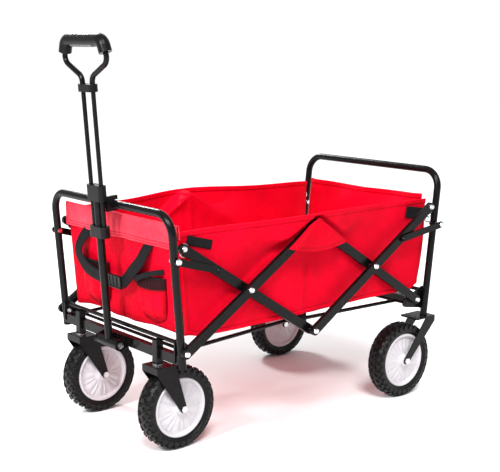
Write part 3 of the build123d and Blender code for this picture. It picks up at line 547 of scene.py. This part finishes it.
sideWidth = sideBox[1].x - sideBox[0].x
sideHeight = sideBox[1].z - sideBox[0].z
sides = {"Left": -1, "Right": 1}
for side, sign in sides.items():
    place = sideShape(sign)
    panel = gridSheet("basketSide" + side, sideCloth["columns"], sideCloth["rows"],
                      (sideWidth, sideHeight), place)
    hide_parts("basket_side_" + side.lower())
    hem = gridSheet(
        "sideHem" + side, sideCloth["columns"], 3, (sideWidth, sideCloth["hem"]["height"]),
        lambda across, up, place=place: place(across, 0.952 + 0.052 * up),
        thickness=sideCloth["hem"]["thickness"])
    foot = gridSheet(
        "sideFoot" + side, sideCloth["columns"], 3, (sideWidth, sideCloth["foot"]["height"]),
        lambda across, up, place=place: place(across, -0.004 + 0.040 * up),
        thickness=sideCloth["foot"]["thickness"])
    for piece in (panel, hem, foot):
        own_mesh(piece)
print("wagon: sides hung")

# ---- house-shaped flaps over the top joints
flap = {
    "halfWidth": 0.093,
    "top": flapBox[1].z + 0.003,
    "shoulder": flapBox[0].z + 0.014,
    "bottom": flapBox[0].z,
    "columns": 44,
    "rows": 34,
}


def flapShape(sign):
    def place(across, up):
        down = 1 - up
        u = 2 * across - 1
        low = flap["bottom"] + (flap["shoulder"] - flap["bottom"]) * u * u
        v = 0.035 + 0.965 * down
        x = basket["middleX"] + u * flap["halfWidth"] * v
        z = flap["top"] - v * (flap["top"] - low)
        rim = ease(abs(u), 0.86, 1.0)
        y = basket["flapY"] - 0.0015 - 0.0075 * bump(v, 0.0, 0.30)
        ripple = 0.0012 * noise.noise(Vector((x * 30, z * 30, sign)))
        y += 0.0022 * (1 - rim) * math.sin(math.pi * down) + ripple
        y -= 0.0085 * rim * ease(v, 0.05, 0.30)
        return Vector((x, sign * y, z))
    return place


for side, sign in sides.items():
    piece = gridSheet("sideFlap" + side, flap["columns"], flap["rows"], (0.12, 0.09), flapShape(sign),
                      thickness=0.0014)
    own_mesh(piece)
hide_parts("side_flaps")
print("wagon: flaps sewn on")

# ---- end panels and floor
endPanel = {
    "columns": 84,
    "rows": 46,
    "frontLow": basket["floorZ"] + 0.001,
    "rearLow": basket["floorZ"] + 0.003,
}


def frontShape(across, up):
    y = (2 * across - 1) * basket["frontHalf"]
    low = endPanel["frontLow"] - 0.010 * bump(across, 1.0, 0.12) + 0.004 * math.sin(across * 9.0)
    z = low + (basket["frontTop"] - 0.002 - low) * up
    pull = ease(across, 0.0, 0.06) * (1 - ease(across, 0.94, 1.0)) * (1 - up ** 4)
    slack = softFold(y, z, 21.0, 0.0070, 0.0022) * pull
    slack += 0.0030 * math.sin(y * 60.0 + z * 18.0) * bump(up, 0.05, 0.22) * pull
    return Vector((frontX(z) - 0.0002 - min(max(slack, -0.006), 0.0016), y, z))


def rearShape(across, up):
    y = (2 * across - 1) * basket["rearHalf"]
    low = endPanel["rearLow"] + 0.003 * math.sin(across * 7.0)
    high = basket["rearTop"] - 0.004 * math.sin(math.pi * across)
    z = low + (high - low) * up
    pull = ease(across, 0.0, 0.05) * (1 - ease(across, 0.95, 1.0))
    slack = softFold(y, z, 33.0, 0.0085, 0.0026) * pull
    slack += 0.0034 * math.sin(y * 34.0 + z * 46.0) * bump(up, 0.85, 0.25) * pull
    return Vector((rearX(z) + max(min(slack, 0.006), -0.006), y, z))


frontPanel = gridSheet("frontPanel", endPanel["columns"], endPanel["rows"], (0.433, 0.24), frontShape)
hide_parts("basket_front_panel")
rearPanel = gridSheet("rearPanel", endPanel["columns"], endPanel["rows"], (0.407, 0.258), rearShape,
                      body="rear_frame")
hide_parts("basket_rear_panel")
rearHem = gridSheet("rearHem", endPanel["columns"], 3, (0.407, 0.014),
                    lambda across, up: rearShape(across, 0.95 + 0.053 * up),
                    body="rear_frame", thickness=0.0034)

cuff = {
    "half": 0.2225,
    "low": basket["frontTop"] - 0.050,
    "top": basket["frontTop"] + 0.0022,
    "inside": basket["frontTop"] - 0.028,
    "columns": 90,
    "rows": 26,
}


def cuffShape(across, up):  # over the top of the front panel, from the inside to the outside
    y = (2 * across - 1) * cuff["half"]
    inner, outer = cuff["top"] - cuff["inside"], cuff["top"] - cuff["low"]
    turn = 0.012
    run = up * (inner + outer + turn)
    wave = 0.0012 * noise.noise(Vector((y * 16, 0.0, 3.0)))
    lowSlack = 0.0020 * noise.noise(Vector((y * 22, 0.0, 9.0)))
    if run < inner:
        z = cuff["inside"] + run
        return Vector((frontX(z) + 0.0034, y, z + wave))
    if run < inner + turn:
        angle = math.pi * (run - inner) / turn
        z = cuff["top"] + 0.0030 * math.sin(angle)
        return Vector((frontX(z) + 0.0034 * math.cos(angle), y, z + wave))
    down = (run - inner - turn) / outer
    z = cuff["top"] - (run - inner - turn) + lowSlack * down
    flare = 0.0030 * down + 0.0012 * down ** 2 + 0.0010 * noise.noise(Vector((y * 14, down * 2, 5.0))) * down
    return Vector((frontX(z) - 0.0034 - flare, y, z + wave * (1 - down)))


cuffPiece = gridSheet("frontCuff", cuff["columns"], cuff["rows"], (0.445, 0.094), cuffShape,
                      finish="cuffCloth")

floorCloth = {"columns": 64, "rows": 60, "bend": 0.100}
floorEnds = {"front": frontX(basket["floorZ"]) + 0.003, "rear": rearX(basket["floorZ"]) - 0.002}


def floorShape(outer):
    def place(across, up):
        y = (2 * up - 1) * (basket["frontHalf"] - 0.001)
        x = floorEnds[outer] * (1 - across) + basket["middleX"] * across
        hang = math.sin(math.pi * across / 2) * math.sin(math.pi * up)
        rise = 0.003 * bump(x, basket["middleX"], 0.006) + 0.0022 * (1 - hang)
        return Vector((x, y, basket["floorZ"] + 0.0006 + rise + 0.4 * abs(softFold(x, y, 41.0)) * hang))
    return place


# the floor comes up in two halves, each sagging from its own end to the middle, attached to no body
for outer, inward in (("front", 1), ("rear", -1)):
    length = abs(basket["middleX"] - floorEnds[outer])
    piece = gridSheet(outer + "Floor", floorCloth["columns"], floorCloth["rows"], (length, 0.431),
                      floorShape(outer), body="")
    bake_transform(piece)
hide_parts("basket_floor")
print("wagon: ends and floor hung")

# ---- cup pockets on the front, with a net mouth and a gathered elastic rim
pocketBoxes = {"Left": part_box("pocket_left"), "Right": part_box("pocket_right")}
pocket = {"depth": 0.0215, "netFrom": 0.74, "columns": 40, "rows": 30, "ruffles": 11}


def pocketShape(box, mirror):
    def place(across, up):
        width = box[1].y - box[0].y
        squeeze = 1 - 0.16 * (1 - up) ** 2
        y = (box[0].y + box[1].y) / 2 + (across - 0.5) * width * squeeze
        z = box[0].z + 0.003 + (box[1].z - box[0].z - 0.002) * up
        z += 0.016 * (1 - up) * (2 * across - 1) ** 2
        roundness = math.sin(math.pi * min(max(across, 0.0), 1.0)) ** 0.55
        fill = ease(up, -0.02, 0.30) * (1 - 0.30 * ease(up, 0.50, 1.0))
        ruffle = 0.0011 * math.sin(across * math.pi * 2 * pocket["ruffles"]) * ease(up, 0.62, 1.0) * roundness
        sag = softFold(y * 1.6, z * 1.6, 50.0 + mirror, 0.0036, 0.0015) * roundness
        drape = 0.0022 * math.sin(across * 17.0 + 4.0 * up) * roundness * (1 - ease(up, 0.2, 0.8))
        depth = pocket["depth"] * 0.94 * roundness * fill + ruffle + drape + sag * (0.4 + 0.6 * fill)
        depth = min(depth, pocket["depth"])
        return Vector((frontX(z) - 0.0018 - max(depth, 0.0), y, z))
    return place


for side, box in pocketBoxes.items():
    place = pocketShape(box, sides[side])
    pouch = gridSheet("cupPocket" + side, pocket["columns"], pocket["rows"], (0.135, 0.082),
                      lambda across, up, place=place: place(across, up * pocket["netFrom"]),
                      finish="pocketCloth")
    net = gridSheet("pocketNet" + side, pocket["columns"], 10, (0.135, 0.028),
                    lambda across, up, place=place: place(
                        across, pocket["netFrom"] - 0.01 + (1.0 - pocket["netFrom"]) * up),
                    finish="pocketNet")
    rim = gridSheet("pocketRim" + side, 90, 3, (0.135, 0.007),
                    lambda across, up, place=place: place(across, 0.965 + 0.05 * up),
                    finish="blackWebbing", thickness=0.0030)
    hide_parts("pocket_" + side.lower())
print("wagon: pockets sewn on")

# ---- black webbing: straps between the pockets, tabs on the sides
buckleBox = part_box("strap_buckle")


def along(points, t):  # a smooth line through a few points
    last = len(points) - 1
    i = min(int(t * last), last - 1)
    f = t * last - i
    p = [Vector(points[min(max(k, 0), last)]) for k in (i - 1, i, i + 1, i + 2)]
    return 0.5 * (2 * p[1] + (p[2] - p[0]) * f + (2 * p[0] - 5 * p[1] + 4 * p[2] - p[3]) * f * f
                  + (3 * p[1] - p[0] - 3 * p[2] + p[3]) * f ** 3)


def webbing(name, points, width, body="front_frame", facing=(-1, 0, 0), thickness=0.0017, rows=40,
            sideways=None):
    length = sum((Vector(b) - Vector(a)).length for a, b in zip(points, points[1:]))
    face = Vector(facing)

    def place(across, up):
        here = along(points, up)
        run = (along(points, min(up + 0.01, 1.0)) - along(points, max(up - 0.01, 0.0))).normalized()
        side = Vector(sideways) if sideways else run.cross(face).normalized()
        return here + side * (across - 0.5) * width
    return gridSheet(name, 4, rows, (width, length), place, "blackWebbing", body, thickness)


def onFront(y, z, proud):
    return (frontX(z) - proud, y, z)


strapRuns = {
    "Left": [(-0.119, 0.466, 0.0022), (-0.113, 0.447, 0.013), (-0.099, 0.421, 0.021), (-0.074, 0.397, 0.0250),
             (-0.050, 0.374, 0.0265), (-0.030, 0.360, 0.0270)],
    "Right": [(0.118, 0.466, 0.0022), (0.139, 0.444, 0.014), (0.150, 0.412, 0.024), (0.131, 0.384, 0.0255),
              (0.092, 0.367, 0.0265), (0.020, 0.361, 0.0270)],
}
tailRuns = {
    "Left": [(-0.078, 0.378, 0.0245), (-0.112, 0.392, 0.0240), (-0.142, 0.402, 0.0180),
             (-0.166, 0.407, 0.0045)],
    "Right": [(0.098, 0.374, 0.0245), (0.125, 0.386, 0.0240), (0.148, 0.396, 0.0180),
              (0.168, 0.402, 0.0045)],
}
for side in sides:
    upper = webbing("pocketStrap" + side, [onFront(*p) for p in strapRuns[side]], 0.028)
    tail = webbing("pocketTail" + side, [onFront(*p) for p in tailRuns[side]], 0.012)
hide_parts("pocket_straps")

tabs = {
    "frontTab": {"from": (0.024, 0.484), "to": (0.091, 0.466), "width": 0.021},
    "rearTab": {"from": (0.722, 0.475), "to": (0.793, 0.463), "width": 0.030},
}
postX = frontPanelBox[1].x - 0.022
for tabName, tab in tabs.items():
    for side, sign in sides.items():
        points = []
        for step in range(5):
            f = step / 4
            x = postX + tab["from"][0] * (1 - f) + tab["to"][0] * f
            z = tab["from"][1] * (1 - f) + tab["to"][1] * f
            points.append((x, sign * (basket["sideY"] + 0.0042), z))
        piece = webbing(tabName + side, points, tab["width"], facing=(0, sign, 0), rows=24)
        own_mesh(piece)
loopHang = {"width": 0.012, "tube": 0.0078, "reach": 0.0205, "y": 0.2085, "sunk": 0.006}
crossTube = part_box("front_floor_frame")
for side, sign in sides.items():
    tubeZ = crossTube[1].z - loopHang["sunk"]
    ring = [(basket["middleX"], sign * loopHang["y"], tubeZ + loopHang["reach"])]
    for step in range(7):
        turn = math.radians(150 + 40 * step)
        ring.append((basket["middleX"] + math.sin(turn - math.pi / 2) * loopHang["tube"],
                     sign * loopHang["y"],
                     tubeZ + math.cos(turn - math.pi / 2) * loopHang["tube"]))
    ring.append(ring[0])
    piece = webbing("floorLoop" + side, ring, loopHang["width"], "front_floor", rows=40, sideways=(0, 1, 0))
print("wagon: webbing sewn on")

# ---- buckle: a ladder slide with a rolled rim
buckle = {"rim": 0.0045, "bar": 0.0035, "deep": 0.0062, "barDeep": 0.0056, "bars": (-0.014, 0.0, 0.014)}


def makeBuckle():
    low, high = buckleBox
    centre = (low + high) / 2
    bm = bmesh.new()
    size = Vector((buckle["deep"], high.y - low.y, high.z - low.z))
    bmesh.ops.create_cube(bm, size=1.0)
    bmesh.ops.scale(bm, vec=size, verts=bm.verts)
    front = [f for f in bm.faces if abs(f.normal.x) > 0.9]
    bmesh.ops.inset_individual(bm, faces=front, thickness=buckle["rim"], depth=0.0)
    bmesh.ops.inset_individual(bm, faces=front, thickness=0.0012, depth=-0.0014)
    bmesh.ops.bevel(bm, geom=bm.edges[:], offset=0.0009, segments=2, profile=0.5, affect="EDGES", material=-1)
    for offset in buckle["bars"]:
        made = bmesh.ops.create_cube(bm, size=1.0)["verts"]
        bmesh.ops.scale(bm, vec=(buckle["barDeep"], buckle["bar"], size.z * 0.72), verts=made)
        bmesh.ops.translate(bm, vec=(0.0, offset, 0.0), verts=made)
        edges = {e for v in made for e in v.link_edges}
        bmesh.ops.bevel(bm, geom=list(edges), offset=0.0008, segments=2, profile=0.5, affect="EDGES",
                        material=-1)
    bmesh.ops.rotate(bm, cent=(0, 0, 0), matrix=Matrix.Rotation(-math.radians(5.0), 3, "Y"), verts=bm.verts)
    bmesh.ops.translate(bm, vec=centre + Vector((-0.0008, 0, 0)), verts=bm.verts)
    piece = finishPiece("strapSlide", bm, "blackPlastic", "front_frame")
    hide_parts("strap_buckle")


makeBuckle()

# ---- wheels
wheel = {
    "radius": 0.095,
    "halfWidth": 0.022,
    "rim": (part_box("wheel_front_left")[1].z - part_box("wheel_front_left")[0].z) / 2,
    "facets": 9,
    "facetDepth": 0.0034,
    "boss": 0.0150,
    "tyreSteps": 96,
    "hubSteps": 120,
}
tread = {
    "rows": (-0.0145, 0.0, 0.0145),
    "count": 30,
    "length": 0.0115,
    "width": 0.0105,
    "height": 0.0030,
    "taper": 0.82,
    "edgeTurn": 0.42,
    "middleTurn": 0.55,
    "edgeDrop": 0.0021,
    "sideLug": (0.0125, 0.0030, 0.0085),
}
wheelPlaces = {}
for place in ("front_left", "front_right", "rear_left", "rear_right"):
    low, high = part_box("tyre_" + place)
    wheelPlaces[place] = (low + high) / 2


def spinProfile(bm, profile, steps):  # closes a ring profile (radius, y) round the Y axis
    verts = [bm.verts.new((radius, y, 0.0)) for radius, y in profile]
    edges = [bm.edges.new((a, b)) for a, b in zip(verts, verts[1:] + verts[:1])]
    bmesh.ops.spin(bm, geom=verts + edges, cent=(0, 0, 0), axis=(0, 1, 0), angle=math.tau, steps=steps,
                   use_merge=True)
    bmesh.ops.remove_doubles(bm, verts=bm.verts, dist=0.00001)


def tyreMesh():
    bm = bmesh.new()
    half, outer, rim = wheel["halfWidth"], wheel["radius"] - tread["height"], wheel["rim"]
    profile = [
        (rim, -half + 0.005), (rim + 0.0035, -half + 0.0032), (rim + 0.006, -half + 0.0030),
        (rim + 0.008, -half + 0.0012), (rim + 0.013, -half + 0.0004), (outer - 0.011, -half),
        (outer - 0.0065, -half + 0.0014), (outer - 0.003, -half + 0.0042), (outer - 0.0008, -half + 0.0095),
        (outer, -half + 0.016), (outer, half - 0.016), (outer - 0.0008, half - 0.0095),
        (outer - 0.003, half - 0.0042), (outer - 0.0065, half - 0.0014), (outer - 0.011, half),
        (rim + 0.013, half - 0.0004), (rim + 0.008, half - 0.0012), (rim + 0.006, half - 0.0030),
        (rim + 0.0035, half - 0.0032), (rim, half - 0.005),
    ]
    spinProfile(bm, profile, wheel["tyreSteps"])
    bmesh.ops.recalc_face_normals(bm, faces=bm.faces)
    for face in bm.faces:
        face.smooth = True
    for row, y in enumerate(tread["rows"]):
        edgeRow = abs(y) > 0.01
        for index in range(tread["count"]):
            turn = (index + 0.5 * (row % 2)) * math.tau / tread["count"]
            made = bmesh.ops.create_cube(bm, size=1.0)["verts"]
            deep = tread["height"] * 2 + (0.002 if edgeRow else 0)
            bmesh.ops.scale(bm, vec=(deep, tread["width"], tread["length"]), verts=made)
            for vert in made:  # each lug narrows towards the road
                if vert.co.x > 0:
                    vert.co.y *= tread["taper"]
                    vert.co.z *= tread["taper"]
            if edgeRow:
                bmesh.ops.rotate(bm, cent=(0, 0, 0), verts=made,
                                 matrix=Matrix.Rotation(math.copysign(tread["edgeTurn"], y), 3, "Z"))
            else:
                bmesh.ops.rotate(bm, cent=(0, 0, 0), verts=made,
                                 matrix=Matrix.Rotation(tread["middleTurn"], 3, "X"))
            drop = tread["edgeDrop"] if edgeRow else 0.0
            bmesh.ops.translate(bm, verts=made, vec=(wheel["radius"] - tread["height"] - drop, y, 0.0))
            bmesh.ops.rotate(bm, cent=(0, 0, 0), verts=made, matrix=Matrix.Rotation(turn, 3, "Y"))
        # sidewall lugs run down from the edge rows
        if edgeRow:
            for index in range(tread["count"]):
                turn = (index + 0.5) * math.tau / tread["count"]
                made = bmesh.ops.create_cube(bm, size=1.0)["verts"]
                bmesh.ops.scale(bm, vec=tread["sideLug"], verts=made)
                beside = math.copysign(wheel["halfWidth"] - 0.0013, y)
                bmesh.ops.translate(bm, verts=made, vec=(wheel["radius"] - 0.0115, beside, 0.0))
                bmesh.ops.rotate(bm, cent=(0, 0, 0), verts=made, matrix=Matrix.Rotation(turn, 3, "Y"))
    return bm


def hubMesh():
    bm = bmesh.new()
    rim, boss = wheel["rim"] - 0.0006, wheel["boss"]
    profile = []
    for side in (1, -1):
        half = [
            (rim, 0.0172 * side), (rim - 0.0016, 0.0188 * side), (rim - 0.0048, 0.0188 * side),
            (rim - 0.0068, 0.0172 * side), (rim - 0.0082, 0.0120 * side), (rim - 0.0105, 0.0104 * side),
            (0.046, 0.0112 * side), (0.036, 0.0126 * side), (0.026, 0.0146 * side), (0.0205, 0.0164 * side),
            (boss + 0.0022, 0.0180 * side), (boss, 0.0200 * side), (boss - 0.0008, 0.0245 * side),
            (boss - 0.0030, 0.0250 * side), (0.0054, 0.0250 * side),
        ]
        profile += half if side > 0 else half[::-1]
    spinProfile(bm, profile, wheel["hubSteps"])
    for vert in bm.verts:  # soft raised petals between the boss and the rim
        radius = math.hypot(vert.co.x, vert.co.z)
        if 0.019 < radius < rim - 0.0095 and abs(vert.co.y) > 0.008:
            turn = math.atan2(vert.co.z, vert.co.x) * wheel["facets"]
            petal = abs(math.sin(turn / 2)) - 0.5
            share = ease(radius, 0.019, 0.034) * (1 - ease(radius, rim - 0.014, rim - 0.009))
            vert.co.y += math.copysign(2.0 * wheel["facetDepth"] * petal * share, vert.co.y)
    bmesh.ops.recalc_face_normals(bm, faces=bm.faces)
    for face in bm.faces:
        face.smooth = True
    return bm


for place, centre in wheelPlaces.items():
    body = "wheel_" + place
    name = "".join(word.capitalize() for word in place.split("_"))
    bm = tyreMesh()
    bmesh.ops.translate(bm, verts=bm.verts, vec=centre)
    tyrePiece = finishPiece("tyre" + name, bm, "tyreRubber", body, 32.0)
    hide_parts("tyre_" + place)
    bm = hubMesh()
    bmesh.ops.translate(bm, verts=bm.verts, vec=centre)
    hubPiece = finishPiece("hub" + name, bm, "hubPlastic", body, 38.0)
    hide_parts("wheel_" + place)
print("wagon: wheels made")

# ---- small fittings: wire hooks by the posts
hook = {
    "wire": 0.0018,
    "y": 0.2265,
    "steps": 36,
    "sides": 10,
    "front": (0.012, 0.468),
    "rear": (0.800, 0.460),
}


def wireHook(name, centreX, centreZ, sign, body):
    bm = bmesh.new()
    points = [
        Vector((-0.012, 0.0, 0.006)), Vector((-0.004, 0.002, 0.010)), Vector((0.006, 0.003, 0.007)),
        Vector((0.009, 0.003, 0.000)), Vector((0.004, 0.002, -0.006)), Vector((-0.004, 0.002, -0.004)),
        Vector((-0.009, 0.001, -0.011)), Vector((-0.003, 0.0, -0.018)), Vector((0.006, 0.0, -0.017)),
    ]
    rings = []
    for step in range(hook["steps"] + 1):
        t = step / hook["steps"]
        here = along(points, t)
        run = (along(points, min(t + 0.01, 1.0)) - along(points, max(t - 0.01, 0.0))).normalized()
        side = run.cross(Vector((0, 1, 0))).normalized()
        atEnd = step in (0, hook["steps"])
        made = bmesh.ops.create_circle(bm, cap_ends=atEnd, segments=hook["sides"],
                                       radius=hook["wire"])["verts"]
        turn = Matrix((side, run.cross(side).normalized(), run)).transposed()
        bmesh.ops.rotate(bm, cent=(0, 0, 0), matrix=turn, verts=made)
        bmesh.ops.translate(bm, verts=made, vec=here)
        rings.append([e for e in {e for v in made for e in v.link_edges} if all(w in made for w in e.verts)])
    for first, second in zip(rings, rings[1:]):
        bmesh.ops.bridge_loops(bm, edges=first + second)
    bmesh.ops.scale(bm, vec=(1, sign, 1), verts=bm.verts)
    bmesh.ops.translate(bm, verts=bm.verts, vec=(centreX, sign * hook["y"], centreZ))
    bmesh.ops.recalc_face_normals(bm, faces=bm.faces)
    for face in bm.faces:
        face.smooth = True
    return finishPiece(name, bm, "zincPlate", body, 60.0)


for side, sign in sides.items():
    wireHook("frontHook" + side, postX + hook["front"][0], hook["front"][1], sign, "front_frame")
    wireHook("rearHook" + side, postX + hook["rear"][0], hook["rear"][1], sign, "rear_frame")
print("wagon: fittings made")

# ---- pale floor and soft studio light
studio = {
    "floor": (0.90, 0.90, 0.905, 1.0),
    "backdrop": 1.0,
    "world": 0.62,
    "sun": {"from": (-0.50, -0.74, 1.05), "angle": 20.0, "strength": 3.0},
    "key": {"place": (-2.6, -0.6, 2.0), "size": 0.5, "power": 75.0},
    "edge": {"place": (0.6, 2.6, 2.6), "size": 0.7, "power": 75.0},
}


def makeStudio():
    bm = bmesh.new()
    bmesh.ops.create_grid(bm, x_segments=4, y_segments=4, size=12.0)
    mesh = bpy.data.meshes.new("studioFloor")
    bm.to_mesh(mesh)
    bm.free()
    floor = bpy.data.objects.new("studioFloor", mesh)
    bpy.context.scene.collection.objects.link(floor)
    material, tree, shader = newMaterial("studioFloor", 0.7)
    shader.inputs["Base Color"].default_value = studio["floor"]
    mesh.materials.append(material)
    world = bpy.data.worlds.new("studioWorld")
    world.use_nodes = True
    tree = world.node_tree
    sky = tree.nodes["Background"]
    sky.inputs["Color"].default_value = (1.0, 1.0, 1.0, 1.0)
    sky.inputs["Strength"].default_value = studio["world"]
    seen = addNode(tree, "ShaderNodeBackground")
    setInputs(seen, Color=(1.0, 1.0, 1.0, 1.0), Strength=studio["backdrop"])
    mix = addNode(tree, "ShaderNodeMixShader")
    tree.links.new(addNode(tree, "ShaderNodeLightPath").outputs["Is Camera Ray"], mix.inputs[0])
    tree.links.new(sky.outputs[0], mix.inputs[1])
    tree.links.new(seen.outputs[0], mix.inputs[2])
    tree.links.new(mix.outputs[0], tree.nodes["World Output"].inputs["Surface"])
    bpy.context.scene.world = world
    sunData = bpy.data.lights.new("sunLight", "SUN")
    sunData.energy = studio["sun"]["strength"]
    sunData.angle = math.radians(studio["sun"]["angle"])
    sun = bpy.data.objects.new("sunLight", sunData)
    bpy.context.scene.collection.objects.link(sun)
    sun.rotation_euler = Vector(studio["sun"]["from"]).to_track_quat("Z", "Y").to_euler()
    for name in ("key", "edge"):
        values = studio[name]
        data = bpy.data.lights.new(name + "Light", "AREA")
        data.size = values["size"]
        data.energy = values["power"]
        lamp = bpy.data.objects.new(name + "Light", data)
        bpy.context.scene.collection.objects.link(lamp)
        lamp.location = values["place"]
        aim = Vector((0.0, 0.0, 0.35)) - lamp.location
        lamp.rotation_euler = aim.to_track_quat("-Z", "Y").to_euler()


makeStudio()
print("wagon: done")
